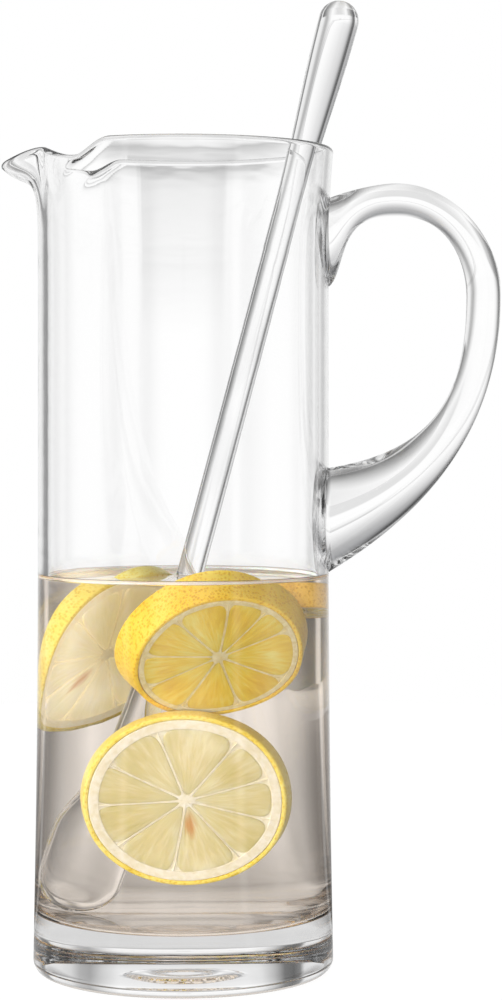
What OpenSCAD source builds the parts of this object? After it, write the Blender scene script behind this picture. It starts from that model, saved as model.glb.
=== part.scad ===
// Cocktail pitcher of clear blown glass, filled to about half with a lemon drink.
// Millimetres. The origin is on the vessel's axis where it meets the table, +Z is up,
// the spout points to -X and the handle to +X.

/* [Vessel] */
// Height from the table to the rim
vessel_h = 260; // [240:1:290]
// Outside radius at the waist, where the wall is narrowest
waist_r = 46; // [45:0.5:52]
// How far the outside swells from the waist down to the foot
foot_swell = 1.5; // [0.5:0.1:3]
// Height over which the foot swells
foot_swell_h = 150; // [80:5:180]
// How far the mouth flares out beyond the waist
mouth_flare = 1.6; // [0.4:0.1:3]
// Height over which the mouth flares
mouth_flare_h = 48; // [36:1:80]
// Thickness of the blown wall
wall_t = 3; // [2.4:0.1:4]
// Thickness of the fire-polished rim
rim_t = 2.7; // [2:0.1:3.6]
// Thickness of the solid foot under the drink
foot_h = 18.2; // [12:0.2:22]
// Rounding of the foot's lower edge
foot_round = 4.2; // [1:0.1:6]
// Rounding inside, between the floor and the wall
floor_round = 5; // [2:0.5:8]

/* [Underside] */
// Width of the ring that the vessel stands on
standing_ring_w = 14; // [8:0.5:18]
// How far the underside is hollowed inside that ring
base_hollow = 0.8; // [0.4:0.1:2]
// Diameter of the ground mark left by the blowing iron
pontil_d = 25; // [14:0.5:32]
// Depth of the ground mark
pontil_depth = 1; // [0.5:0.1:2]

/* [Spout] */
// Height of the top band that the spout is pulled from
lip_h = 34; // [28:1:40]
// How far the tip of the beak is pulled out beyond the wall
spout_reach = 11.8; // [6:0.2:16]
// Half of the angle that the beak takes from the rim
beak_half_angle = 21; // [16:1:26]
// Angle from the tip to the dip on each side of it
notch_angle = 43; // [38:1:50]
// Angle that each dip spreads towards the beak
notch_inner_angle = 33; // [24:1:36]
// Angle that each dip spreads towards the plain rim
notch_outer_angle = 20; // [14:1:24]
// How far the dips turn towards the beak from the rim down to the foot of the lip
notch_turn = 45; // [20:1:60]
// How far the rim drops in the dips
notch_drop = 4.7; // [2:0.1:8]
// How far the glass is pinched inwards in the dips
notch_pinch = 2; // [0:0.1:3]

/* [Handle] */
// Height of the handle from its lowest point to its top
handle_h = 123; // [100:1:140]
// Distance of the handle's top below the rim
handle_drop = 11; // [8:0.5:24]
// How far the handle stands out from the waist
handle_reach = 54.6; // [42:0.2:66]
// Width of the handle across the grip
handle_w = 13.5; // [10:0.5:20]
// Width where the handle is pressed on to the wall at the lower end
handle_seat_w = 21; // [16:0.5:28]

/* [Stirrer] */
// Length of the stirrer
stirrer_l = 300; // [292:1:330]
// Diameter of the plain rod
rod_d = 8.6; // [7:0.1:10]
// Diameter of the rounded knob
knob_d = 13; // [10:0.1:14]
// Length of the taper below the knob
knob_taper_l = 62; // [30:1:90]
// Width of the flattened paddle
paddle_w = 19.5; // [12:0.5:20]
// Thickness of the flattened paddle
paddle_t = 4; // [3:0.1:6]
// Length of the paddle's flat
paddle_l = 24; // [14:1:34]
// Length over which the paddle turns into the rod
paddle_neck_l = 26; // [14:1:40]
// Distance of the paddle's end from the axis, towards the spout, as a share of the bore's radius
stirrer_foot_share = 0.616; // [0.465:0.001:0.651]
// Distance of the paddle's end from the axis, towards the back
stirrer_foot_y = 8.5; // [7.5:0.5:9.5]
// Angle round the rim from the handle to the place where the rod leans
stirrer_lean_angle = 17; // [14:1:22]

/* [Drink] */
// Height of the drink's surface above the table
drink_level = 124; // [118:1:150]

/* [Lemon slices] */
// Radius of the cut face of the upper slice, as a share of the bore's radius
upper_slice_front_share = 0.544; // [0.465:0.001:0.567]
// Radius of its back, nearer the middle of the fruit, as a share of the bore's radius
upper_slice_back_share = 0.593; // [0.558:0.001:0.604]
// Thickness of the upper slice
upper_slice_t = 11; // [7:0.5:11.5]
// Depth of its middle below the surface
upper_slice_depth = 20; // [18.5:0.5:20.5]
// Radius of the lower slice, as a share of the bore's radius
lower_slice_share = 0.628; // [0.558:0.001:0.637]
// Thickness of the lower slice
lower_slice_t = 7; // [5:0.5:7.5]
// Depth of its upper edge below the surface
lower_slice_edge_depth = 40; // [39.5:0.5:43]
// Radius of the back slice, as a share of the bore's radius
back_slice_share = 0.645; // [0.558:0.001:0.653]
// Thickness of the back slice
back_slice_t = 6; // [5:0.1:6.5]
// Depth of its middle below the surface
back_slice_depth = 23.6; // [22:0.2:26]
// Radius of the small end slice, as a share of the bore's radius
end_slice_share = 0.291; // [0.21:0.001:0.297]
// Thickness of the small end slice, as a share of the bore's radius
end_slice_t_share = 0.186; // [0.117:0.001:0.209]
// Depth of its middle below the surface
end_slice_depth = 7.4; // [7.2:0.1:9]
// How far a slice's rind bulges between its faces
rind_crown = 0.5; // [0:0.1:1]
// Thickness of the yellow peel
peel_t = 1.3; // [0.8:0.1:2]
// Thickness of the white pith under the peel
pith_t = 2.3; // [1:0.1:3.5]
// Radius of the pith core
core_r = 2.2; // [1.2:0.1:3]
// Thickness of the membrane between two segments
web_t = 0.8; // [0.5:0.1:1.4]
// How deep the pulp lies below a slice's face
pulp_recess = 0.25; // [0.1:0.05:0.6]
// Number of segments in a slice
segment_count = 9; // [7:1:11]
// Length of a seed
seed_l = 8; // [5:0.5:9]
// Diameter of a seed
seed_d = 3.4; // [2:0.1:4]

/* [Clearances] */
// Gap between pieces that rest on each other
rest_gap = 0.3; // [0.2:0.05:0.5]
// Gap between the drink and what lies in it
drink_gap = 0.3; // [0.2:0.05:0.6]
// Gap between the handle and the wall, and between the layers of a slice
fit_gap = 0.1; // [0.05:0.01:0.15]

/* [Hidden] */

$fn = 96;

// Steps round and along the freely shaped solids
lip_sides = 72;
lip_steps = 9;
edge_steps = 4;
profile_steps = 14;
arc_steps = 6;
handle_sides = 24;
handle_steps = 13;
rod_sides = 20;

// How deep the lip's foot is let into the wall, and how far inside its faces
lip_root = 1;
lip_root_inset = 0.05;

lip_z = vessel_h - lip_h;
flare_z = vessel_h - mouth_flare_h;
rim_mid_z = vessel_h - rim_t / 2;
bore_waist_r = waist_r - wall_t;

upper_slice_front_r = bore_waist_r * upper_slice_front_share;
upper_slice_back_r = bore_waist_r * upper_slice_back_share;
lower_slice_r = bore_waist_r * lower_slice_share;
back_slice_r = bore_waist_r * back_slice_share;
end_slice_r = bore_waist_r * end_slice_share;
end_slice_t = bore_waist_r * end_slice_t_share;
lower_slice_depth = lower_slice_edge_depth + lower_slice_r;

// The beak's middle line, from the wall up and out to the tip: shares of the reach and of the lip's height
beak_shares = [[0, 0], [0, 0.39], [0.02, 0.865], [0.305, 0.61], [1, 0.832]];

// The handle's two edges from the upper seat, round the grip, to the lower seat:
// shares of the reach beyond the waist and of the handle's height
handle_outer_shares = [
    [[-0.03, 0.955], [0.04, 0.974], [0.27, 1], [0.392, 1]],
    [[0.392, 1], [0.723, 1], [1, 0.862], [1, 0.713]],
    [[1, 0.713], [1, 0.319], [0.444, 0.115], [-0.03, -0.01]]
];
handle_inner_shares = [
    [[-0.03, 0.728], [0.084, 0.736], [0.066, 0.829], [0.1, 0.916], [0.256, 0.916], [0.402, 0.916]],
    [[0.402, 0.916], [0.71, 0.916], [0.8, 0.789], [0.8, 0.707]],
    [[0.8, 0.707], [0.8, 0.466], [0.644, 0.308], [-0.03, 0.265]]
];
// Where along the handle it begins to widen towards the lower seat
handle_widen_share = 0.6;

// Where the slices' middles lie across the bore, as shares of its radius
upper_place_share = [0.198, -0.326];
lower_place_share = [0.028, -0.27];
back_place_share = [-0.437, 0.402];
end_place_share = [0.65, 0.233];
// How the slices lean forward, turn and are rolled about their own axis
upper_turn = [35, 18.5, 4];
lower_turn = [9, -2.5, 11];
back_turn = [22, 50, 19];
end_turn = [78, 0, 0];
// Where a seed lies along a segment, as a share of the pulp's radius
seed_place_share = 0.42;
// Which segment holds the seed of the lower and of the back slice
lower_seed_segment = 6;
back_seed_segment = 5;

function ramp(z, low, high) = min(1, max(0, (z - low) / (high - low)));
function smooth(t) = t * t * (3 - 2 * t);
function flare(z) = pow(ramp(z, flare_z, vessel_h), 3);
function swell(z) = pow(1 - ramp(z, 0, foot_swell_h), 2);
function outer_r(z) = waist_r + foot_swell * swell(z) + mouth_flare * flare(z);
function bore_r(z) = bore_waist_r + (mouth_flare + wall_t - rim_t) * flare(z);
function unit(v) = v / norm(v);

// Point of a Bezier curve with any number of control points
function bezier(p, t) = len(p) == 1 ? p[0] :
    bezier([for (i = [0:len(p) - 2]) p[i] * (1 - t) + p[i + 1] * t], t);

// Points of an arc about a centre
function arc(centre, r, from, to) =
    [for (i = [0:arc_steps]) let (a = from + (to - from) * i / arc_steps)
        centre + r * [cos(a), sin(a)]];

// Outside of the wall between two heights, moved out by a clearance
function outside(low, high, grow = 0) =
    [for (i = [0:profile_steps]) let (z = low + (high - low) * i / profile_steps)
        [outer_r(z) + grow, z]];

// Bore between two heights, going down
function bore(high, low) =
    [for (i = [0:profile_steps]) let (z = high + (low - high) * i / profile_steps)
        [bore_r(z), z]];

// A smooth bump that is 1 at the middle and 0 at a half angle and beyond
function bump(a, half) = abs(a) < half ? (1 + cos(180 * a / half)) / 2 : 0;

// Middle of the lip's glass at an angle from the tip, from its foot (s = 0) to the rim (s = 1):
// the plain wall turns into the beak near the tip and is pinched down and in beside it
function wall_mid(s) = let (z = lip_z + s * (rim_mid_z - lip_z)) [(outer_r(z) + bore_r(z)) / 2, z];
function beak_mid(s) = let (b = bezier(beak_shares, s))
    [wall_mid(0)[0] + spout_reach * b[0], lip_z + lip_h * b[1]];
function notch(a, s) = let (d = abs(a) - notch_angle + notch_turn * (1 - s))
    bump(d, d < 0 ? notch_inner_angle : notch_outer_angle) * pow(s, 5);
function lip_mid(a, s) = let (
        w = s > 0 ? bump(a, beak_half_angle) : 0,
        n = s > 0 ? notch(a, s) : 0
    ) wall_mid(s) * (1 - w) + beak_mid(max(s, 0)) * w - n * [notch_pinch, notch_drop];
function lip_along(a, s) = unit(lip_mid(a, s + 1 / 200) - lip_mid(a, s - 1 / 200));
function lip_out(a, s) = let (t = lip_along(a, s)) [t[1], -t[0]];
function lip_t(s) = wall_t + (rim_t - wall_t) * ramp(s, 0, 1);

// Half section of the lip at an angle: up the outside, over the round edge and down the inside
function lip_section(a) = let (
        root = [-lip_root / lip_h, lip_root / lip_h],
        rows = [for (i = [1:lip_steps]) 1 - pow(1 - i / lip_steps, 1.4)]
    ) concat(
        [for (s = root) lip_mid(a, s) + lip_out(a, 0) * (wall_t / 2 - lip_root_inset)],
        [for (s = rows) lip_mid(a, s) + lip_out(a, s) * lip_t(s) / 2],
        [for (i = [1:edge_steps]) let (q = 180 * i / (edge_steps + 1))
            lip_mid(a, 1) + (lip_out(a, 1) * cos(q) + lip_along(a, 1) * sin(q)) * rim_t / 2],
        [for (i = [lip_steps - 1:-1:0]) let (s = rows[i])
            lip_mid(a, s) - lip_out(a, s) * lip_t(s) / 2],
        [for (i = [1, 0]) let (s = root[i])
            lip_mid(a, s) - lip_out(a, 0) * (wall_t / 2 - lip_root_inset)]
    );

// Top band of the vessel with its spout: the section carried once round the axis
module lip() {
    sections = [for (j = [0:lip_sides - 1]) let (a = 360 * j / lip_sides)
        [for (p = lip_section(a > 180 ? a - 360 : a)) [-p[0] * cos(a), -p[0] * sin(a), p[1]]]];
    m = len(sections[0]);
    faces = [for (j = [0:lip_sides - 1], i = [0:m - 1]) let (
            a = j * m + i,
            b = j * m + (i + 1) % m,
            c = (j + 1) % lip_sides * m + (i + 1) % m,
            d = (j + 1) % lip_sides * m + i
        ) each [[a, b, c], [a, c, d]]];
    polyhedron([for (section = sections) each section], faces);
}

// Closed solid through rings of points, with flat ends
module loft(rings) {
    n = len(rings[0]);
    last = (len(rings) - 1) * n;
    sides = [for (i = [0:len(rings) - 2], j = [0:n - 1]) let (
            a = i * n + j,
            b = i * n + (j + 1) % n
        ) each [[a, a + n, b], [b, a + n, b + n]]];
    ends = [[for (j = [0:n - 1]) j], [for (j = [n - 1:-1:0]) last + j]];
    polyhedron([for (ring = rings) each ring], concat(sides, ends));
}

module vessel() {
    foot_r = outer_r(foot_round) - foot_round;
    ring_r = foot_r - standing_ring_w;
    pontil_r = pontil_d / 2;
    underside = [for (i = [0:arc_steps]) let (u = i / arc_steps)
        [pontil_r * u, base_hollow + pontil_depth * (1 - u * u)]];
    color("aliceblue", 0.4) union() {
        rotate_extrude() polygon(concat(
            underside,
            [[ring_r - base_hollow, base_hollow], [ring_r, 0]],
            arc([foot_r, foot_round], foot_round, -90, 0),
            outside(foot_round * 2, lip_z),
            bore(lip_z, foot_h + floor_round * 2),
            arc([bore_waist_r - floor_round, foot_h + floor_round], floor_round, 0, -90),
            [[0, foot_h]]
        ));
        lip();
    }
}

module handle() {
    base_z = vessel_h - handle_drop - handle_h;
    function at(share) = [waist_r + handle_reach * share[0], base_z + handle_h * share[1]];
    stretches = len(handle_outer_shares);
    rings = [for (k = [0:stretches - 1], i = [k > 0 ? 1 : 0:handle_steps]) let (
            t = i / handle_steps,
            outer = at(bezier(handle_outer_shares[k], t)),
            inner = at(bezier(handle_inner_shares[k], t)),
            widen = smooth(ramp((k + t) / stretches, handle_widen_share, 1)),
            middle = (outer + inner) / 2,
            half = (outer - inner) / 2,
            half_w = (handle_w + (handle_seat_w - handle_w) * widen) / 2
        ) [for (j = [0:handle_sides - 1]) let (
                q = 360 * j / handle_sides,
                p = middle + half * cos(q)
            ) [p[0], half_w * sin(q), p[1]]]];
    color("aliceblue", 0.4) difference() {
        loft(rings);
        rotate_extrude() polygon(concat(
            [[0, foot_round]], outside(foot_round, vessel_h, fit_gap), [[0, vessel_h]]
        ));
    }
}

// Half width and half thickness at a distance from the paddle's end
function round_end(s, r) = sqrt(max(0, 1 - pow(1 - min(1, s / r), 2)));
function rod_r(s) = let (top = stirrer_l - knob_d / 2)
    s > top ? knob_d / 2 * sqrt(max(0, 1 - pow((s - top) / (knob_d / 2), 2))) :
    rod_d / 2 + (knob_d - rod_d) / 2 * smooth(ramp(s, top - knob_taper_l, top));
function paddle_neck(s) = smooth(ramp(s, paddle_l, paddle_l + paddle_neck_l));

// The stirrer's own frame: its foot on the floor, its axis to the place on the rim where it leans.
// The rod's radius there comes from its lean, and the tilted round end of the paddle needs a small lift.
lean_z = rim_mid_z;
stirrer_foot_x = bore_waist_r * stirrer_foot_share;
lean_tilt = atan((stirrer_foot_x + bore_r(lean_z) - rod_d) / (lean_z - foot_h));
lean_rod_r = rod_r((lean_z - foot_h) / cos(lean_tilt)) / cos(lean_tilt);
lean_r = bore_r(lean_z) - rest_gap - lean_rod_r;
paddle_lift = paddle_w / 2 * (1 - cos(lean_tilt));
stirrer_low = [-stirrer_foot_x, stirrer_foot_y, foot_h + rest_gap + paddle_lift];
stirrer_high = [lean_r * cos(stirrer_lean_angle), lean_r * sin(stirrer_lean_angle), lean_z];
stirrer_axis = unit(stirrer_high - stirrer_low);
stirrer_thin = unit(cross(stirrer_axis, [1, 0, 0]));
stirrer_wide = cross(stirrer_thin, stirrer_axis);

module in_stirrer_frame() {
    u = stirrer_wide;
    v = -stirrer_thin;
    w = stirrer_axis;
    o = stirrer_low;
    multmatrix([
        [u[0], v[0], w[0], o[0]],
        [u[1], v[1], w[1], o[1]],
        [u[2], v[2], w[2], o[2]]
    ]) children();
}

function half_wide(s) = let (n = paddle_neck(s))
    paddle_w / 2 * round_end(s, paddle_w / 2) * (1 - n) + rod_r(s) * n;
function half_thick(s) = let (n = paddle_neck(s))
    paddle_t / 2 * round_end(s, paddle_t) * (1 - n) + rod_r(s) * n;

module stirrer() {
    tip = paddle_w / 2;
    knob = knob_d / 2;
    stations = concat(
        [for (i = [1:arc_steps]) tip * (1 - cos(90 * i / arc_steps))],
        [for (i = [1:arc_steps * 2]) tip + (paddle_l + paddle_neck_l - tip) * i / (arc_steps * 2)],
        [for (i = [0:arc_steps]) stirrer_l - knob - knob_taper_l * (1 - i / arc_steps)],
        [for (i = [1:arc_steps - 1]) stirrer_l - knob + knob * sin(90 * i / arc_steps)],
        [stirrer_l - knob / 200]
    );
    color("lightcyan", 0.5) in_stirrer_frame()
        loft([for (s = stations) [for (j = [0:rod_sides - 1]) let (q = -360 * j / rod_sides)
            [half_wide(s) * cos(q), half_thick(s) * sin(q), s]]]);
}

// Room in the drink for the stirrer: its rod, and a box round its paddle
module stirrer_room() {
    in_stirrer_frame() {
        cylinder(h = stirrer_l, r = rod_d / 2 + drink_gap);
        translate([-paddle_w / 2 - drink_gap, -rod_d / 2 - drink_gap, -drink_gap])
            cube([paddle_w + 2 * drink_gap, rod_d + 2 * drink_gap, paddle_l + paddle_neck_l]);
    }
}

// Places a slice: its middle across the bore and below the surface, then its lean, turn and roll
module place_slice(place, depth, turn) {
    translate([bore_waist_r * place[0], bore_waist_r * place[1], drink_level - depth])
        rotate([90 + turn[0], 0, turn[1]]) rotate(turn[2]) children();
}

// Rind profile from the front face to the back face, drawn in by a depth
function rind(front_r, back_r, t, inset) =
    [for (i = [0:arc_steps]) let (u = i / arc_steps)
        [front_r + (back_r - front_r) * u + rind_crown * 4 * u * (1 - u) - inset, t * (0.5 - u)]];

// Whole slice, grown by a clearance
module slice_room(front_r, back_r, t, grow) {
    edge = rind(front_r, back_r, t + 2 * grow, -grow);
    rotate_extrude() polygon(concat([[0, t / 2 + grow]], edge, [[0, -t / 2 - grow]]));
}

module peel(front_r, back_r, t) {
    outer = rind(front_r, back_r, t, 0);
    inner = rind(front_r, back_r, t, peel_t);
    color("gold") rotate_extrude()
        polygon(concat(outer, [for (i = [arc_steps:-1:0]) inner[i]]));
}

// Outlines of the pulp segments between the core, the pith and the membranes
module segments(r, grow) {
    difference() {
        circle(r = r + grow);
        circle(r = core_r - grow);
        for (i = [0:segment_count - 1])
            rotate(360 * i / segment_count)
                translate([0, grow - web_t / 2]) square([2 * r, web_t - 2 * grow]);
    }
}

module pith(front_r, back_r, t) {
    edge = rind(front_r, back_r, t, peel_t + fit_gap);
    color("ivory") difference() {
        rotate_extrude() polygon(concat([[0, t / 2]], edge, [[0, -t / 2]]));
        translate([0, 0, -t]) linear_extrude(2 * t)
            segments(front_r - peel_t - pith_t, fit_gap);
    }
}

module pulp(front_r, t) {
    color("khaki") translate([0, 0, pulp_recess - t / 2]) linear_extrude(t - 2 * pulp_recess)
        segments(front_r - peel_t - pith_t, 0);
}

// A seed that lies in a segment and points at the core, grown by a clearance
module seed(front_r, segment, grow) {
    r = seed_d / 2 + grow;
    half = seed_l / 2 + grow;
    pulp_r = front_r - peel_t - pith_t;
    color("tan") rotate(360 * (segment + 0.5) / segment_count)
        translate([pulp_r * seed_place_share, 0, 0]) rotate([0, 90, 0])
            rotate_extrude() polygon([for (i = [0:2 * arc_steps]) let (q = 90 * (i / arc_steps - 1))
                [r * cos(q) * (1 - 0.25 * sin(q)), half * sin(q)]]);
}

module upper_slice() { place_slice(upper_place_share, upper_slice_depth, upper_turn) children(); }
module lower_slice() { place_slice(lower_place_share, lower_slice_depth, lower_turn) children(); }
module back_slice() { place_slice(back_place_share, back_slice_depth, back_turn) children(); }
module end_slice() { place_slice(end_place_share, end_slice_depth, end_turn) children(); }

module upper_slice_peel() { upper_slice() peel(upper_slice_front_r, upper_slice_back_r, upper_slice_t); }
module upper_slice_pith() { upper_slice() pith(upper_slice_front_r, upper_slice_back_r, upper_slice_t); }
module upper_slice_pulp() { upper_slice() pulp(upper_slice_front_r, upper_slice_t); }

module lower_slice_peel() { lower_slice() peel(lower_slice_r, lower_slice_r, lower_slice_t); }
module lower_slice_pith() { lower_slice() pith(lower_slice_r, lower_slice_r, lower_slice_t); }
module lower_slice_pulp() {
    lower_slice() difference() {
        pulp(lower_slice_r, lower_slice_t);
        seed(lower_slice_r, lower_seed_segment, fit_gap);
    }
}
module lower_slice_seed() { lower_slice() seed(lower_slice_r, lower_seed_segment, 0); }

module back_slice_peel() { back_slice() peel(back_slice_r, back_slice_r, back_slice_t); }
module back_slice_pith() { back_slice() pith(back_slice_r, back_slice_r, back_slice_t); }
module back_slice_pulp() {
    back_slice() difference() {
        pulp(back_slice_r, back_slice_t);
        seed(back_slice_r, back_seed_segment, fit_gap);
    }
}
module back_slice_seed() { back_slice() seed(back_slice_r, back_seed_segment, 0); }

module end_slice_peel() { end_slice() peel(end_slice_r, end_slice_r, end_slice_t); }
module end_slice_pith() { end_slice() pith(end_slice_r, end_slice_r, end_slice_t); }
module end_slice_pulp() { end_slice() pulp(end_slice_r, end_slice_t); }

// The drink fills the bore up to its level, round the slices and the stirrer
module drink() {
    low = foot_h + drink_gap;
    color("linen", 0.5) difference() {
        rotate_extrude() polygon(concat(
            [[0, drink_level], [bore_waist_r - drink_gap, drink_level]],
            arc([bore_waist_r - drink_gap - floor_round, low + floor_round], floor_round, 0, -90),
            [[0, low]]
        ));
        stirrer_room();
        upper_slice() slice_room(upper_slice_front_r, upper_slice_back_r, upper_slice_t, drink_gap);
        lower_slice() slice_room(lower_slice_r, lower_slice_r, lower_slice_t, drink_gap);
        back_slice() slice_room(back_slice_r, back_slice_r, back_slice_t, drink_gap);
        end_slice() slice_room(end_slice_r, end_slice_r, end_slice_t, drink_gap);
    }
}

vessel();
handle();
stirrer();
drink();
upper_slice_peel();
upper_slice_pith();
upper_slice_pulp();
lower_slice_peel();
lower_slice_pith();
lower_slice_pulp();
lower_slice_seed();
back_slice_peel();
back_slice_pith();
back_slice_pulp();
back_slice_seed();
end_slice_peel();
end_slice_pith();
end_slice_pulp();
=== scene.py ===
# %% [markdown]
# # A cocktail pitcher of blown glass
#
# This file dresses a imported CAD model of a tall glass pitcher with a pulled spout, an ear handle, a glass
# stirrer and a lemon drink. The CAD model fixes where everything is and how the stirrer moves. Blender gives
# each piece the surface and the finish that the real one has. All shapes are worked out in millimetres, with
# the origin on the vessel's axis at the table, the handle towards +X and the spout towards -X.

# %% Load the frame
import math

import bpy
import numpy as np
from mathutils import Matrix, Vector


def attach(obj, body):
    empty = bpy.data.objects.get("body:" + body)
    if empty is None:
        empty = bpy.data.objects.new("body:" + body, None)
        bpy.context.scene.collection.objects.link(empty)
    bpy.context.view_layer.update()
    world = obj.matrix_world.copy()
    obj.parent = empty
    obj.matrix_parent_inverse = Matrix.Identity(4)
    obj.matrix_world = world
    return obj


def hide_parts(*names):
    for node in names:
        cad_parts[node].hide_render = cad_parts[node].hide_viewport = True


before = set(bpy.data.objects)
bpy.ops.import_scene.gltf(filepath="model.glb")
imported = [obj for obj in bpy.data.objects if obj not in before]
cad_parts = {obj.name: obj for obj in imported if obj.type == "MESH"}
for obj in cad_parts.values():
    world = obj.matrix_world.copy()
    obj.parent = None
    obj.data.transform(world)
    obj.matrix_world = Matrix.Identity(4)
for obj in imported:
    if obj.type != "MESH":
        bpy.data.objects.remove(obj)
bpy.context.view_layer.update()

# %% [markdown]
# ## Camera
#
# The photograph was taken from the side with a level camera a little below the rim. Its distance follows from
# how open the ellipses of the rim and of the drink's surface look. A lens shift keeps the vertical glass
# edges parallel, as the photographer did, instead of tilting the camera down.

# %% Camera
MM = 0.001
EYE_MM = (21.4, -861.0, 175.6)
LENS_MM, LENS_SHIFT = 97.8, -0.085

camera_data = bpy.data.cameras.new("camera")
camera_data.lens, camera_data.sensor_width, camera_data.shift_y = LENS_MM, 36.0, LENS_SHIFT
camera = bpy.data.objects.new("camera", camera_data)
camera.location = [v * MM for v in EYE_MM]
camera.rotation_euler = (math.radians(90), 0, 0)
bpy.context.scene.collection.objects.link(camera)
bpy.context.scene.camera = camera
bpy.context.scene.view_settings.view_transform = "Standard"
print("camera at", EYE_MM, "mm, lens", LENS_MM, "mm")

# %% [markdown]
# ## Helpers for meshes
#
# Every piece here is a surface over a grid: rings of points, one after another. A ring can be a turned
# section, a cross-section of the handle or the edge of a pulp segment. One function joins the rings with
# quads and closes both ends with a point, another puts any number of such shells into one object.

# %% Mesh helpers


def shell(points, uv=None, loop=False):
    """Closed shell over rings of points, shape (rings, steps, 3) in mm. Quads join each ring to the next;
    a point in the middle of each end ring closes it, or with loop the last ring joins the first.
    uv, shape (rings, steps + 1, 2), follows the surface and has one more column, for the seam."""
    rings, steps = points.shape[:2]
    at = np.arange(rings * steps).reshape(rings, steps)
    right = np.roll(at, -1, axis=1)
    if uv is None:
        u, v = np.meshgrid(np.linspace(0, 1, steps + 1), np.linspace(0, 1, rings))
        uv = np.stack([u, v], axis=-1)
    near, far = uv[:, :-1], uv[:, 1:]
    if loop:
        up = lambda a: np.roll(a, -1, axis=0)
        quads = np.stack([at, right, up(right), up(at)], axis=-1).reshape(-1, 4)
        corners = np.stack([near, far, up(far), up(near)], axis=-2).reshape(-1, 4, 2)
        return points.reshape(-1, 3), quads, corners, np.zeros((0, 3), int), np.zeros((0, 3, 2))
    quads = np.stack([at[:-1], right[:-1], right[1:], at[1:]], axis=-1).reshape(-1, 4)
    corners = np.stack([near[:-1], far[:-1], far[1:], near[1:]], axis=-2).reshape(-1, 4, 2)
    first, last = rings * steps, rings * steps + 1
    poles = np.stack([points[0].mean(axis=0), points[-1].mean(axis=0)])
    fans = np.concatenate([
        np.stack([right[0], at[0], np.full(steps, first)], axis=-1),
        np.stack([at[-1], right[-1], np.full(steps, last)], axis=-1)])
    fan_uv = np.concatenate([
        np.stack([far[0], near[0], (near[0] + far[0]) / 2], axis=1),
        np.stack([near[-1], far[-1], (near[-1] + far[-1]) / 2], axis=1)])
    return np.concatenate([points.reshape(-1, 3), poles]), quads, corners, fans, fan_uv


# %% Mesh helpers: one object from shells


def volume(verts, quads, fans):
    """Signed volume of a closed shell: a sum of the tetrahedra from the origin to each triangle."""
    triangles = np.concatenate([quads[:, [0, 1, 2]], quads[:, [0, 2, 3]], fans])
    a, b, c = (verts[triangles[:, i]] for i in range(3))
    return float(np.einsum("ij,ij->i", a, np.cross(b, c)).sum() / 6)


def piece(name, shells, body, nodes, material):
    """One object from closed shells, faces turned outwards, that stands for CAD nodes and rides on a body."""
    verts, faces, uvs, start, size = [], [], [], 0, 0.0
    for points, quads, corners, fans, fan_uv in shells:
        held = volume(points, quads, fans)
        turn = slice(None, None, -1 if held < 0 else 1)
        verts.append(points)
        faces += (quads[:, turn] + start).tolist() + (fans[:, turn] + start).tolist()
        uvs += [corners[:, turn].reshape(-1, 2), fan_uv[:, turn].reshape(-1, 2)]
        start, size = start + len(points), size + abs(held)
    mesh = bpy.data.meshes.new(name)
    mesh.from_pydata((np.concatenate(verts) * MM).tolist(), [], faces)
    layer = mesh.uv_layers.new(name="surface")
    layer.data.foreach_set("uv", np.concatenate(uvs).astype(np.float32).ravel())
    mesh.shade_smooth()
    mesh.materials.append(material)
    made = bpy.data.objects.new(name, mesh)
    bpy.context.scene.collection.objects.link(made)
    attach(made, body)
    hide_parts(*nodes)
    print(f"{name}: {len(faces)} faces, {size / 1000:.1f} cm3")
    return made


# %% Helpers for curves


def ramp(x, low, high):
    """0 up to low, 1 from high on, and straight between them."""
    return np.clip((x - low) / (high - low), 0, 1)


def smooth(t):
    """Eases a share from 0 to 1: t squared times (3 - 2 t)."""
    return t * t * (3 - 2 * t)


def bezier(controls, t):
    """Points of a Bezier curve with any number of control points, by repeated mixing of neighbours."""
    p = np.asarray(controls, float)[:, None, :] * np.ones((1, len(t), 1))
    while len(p) > 1:
        p = p[:-1] * (1 - t)[None, :, None] + p[1:] * t[None, :, None]
    return p[0]


# %% Helpers for round pieces


def circle(steps):
    """Even angles once round, in radians."""
    return np.linspace(0, 2 * np.pi, steps, endpoint=False)


def about_axis(r, a, z):
    """Points at radius r, angle a and height z, where each may be a row, a column or one number."""
    r, a, z = np.broadcast_arrays(r, a, z)
    return np.stack([r * np.cos(a), r * np.sin(a), z], axis=-1)


def arc(centre, r, start, stop, steps):
    """Points of an arc about a centre, angles in degrees."""
    a = np.radians(np.linspace(start, stop, steps))
    return np.stack([centre[0] + r * np.cos(a), centre[1] + r * np.sin(a)], axis=-1)


def turned(profile, steps):
    """The same section for every angle."""
    return np.repeat(profile[:, None, :], steps, axis=1)


# %% [markdown]
# ## Helpers for materials
#
# Colours are written as sRGB hex values and turned to linear light by one function. A second function adds
# a node, sets or links its inputs and hands on its output, so that each material reads as a short recipe.

# %% Material helpers
WHITE = (1, 1, 1, 1)


def colour(hex_value, alpha=1.0):
    """Linear colour of an sRGB hex value: a straight line up to 4 percent, then a power of 2.4."""
    parts = [int(hex_value[i:i + 2], 16) / 255 for i in (1, 3, 5)]
    return tuple(c / 12.92 if c <= 0.04045 else ((c + 0.055) / 1.055) ** 2.4 for c in parts) + (alpha,)


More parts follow.
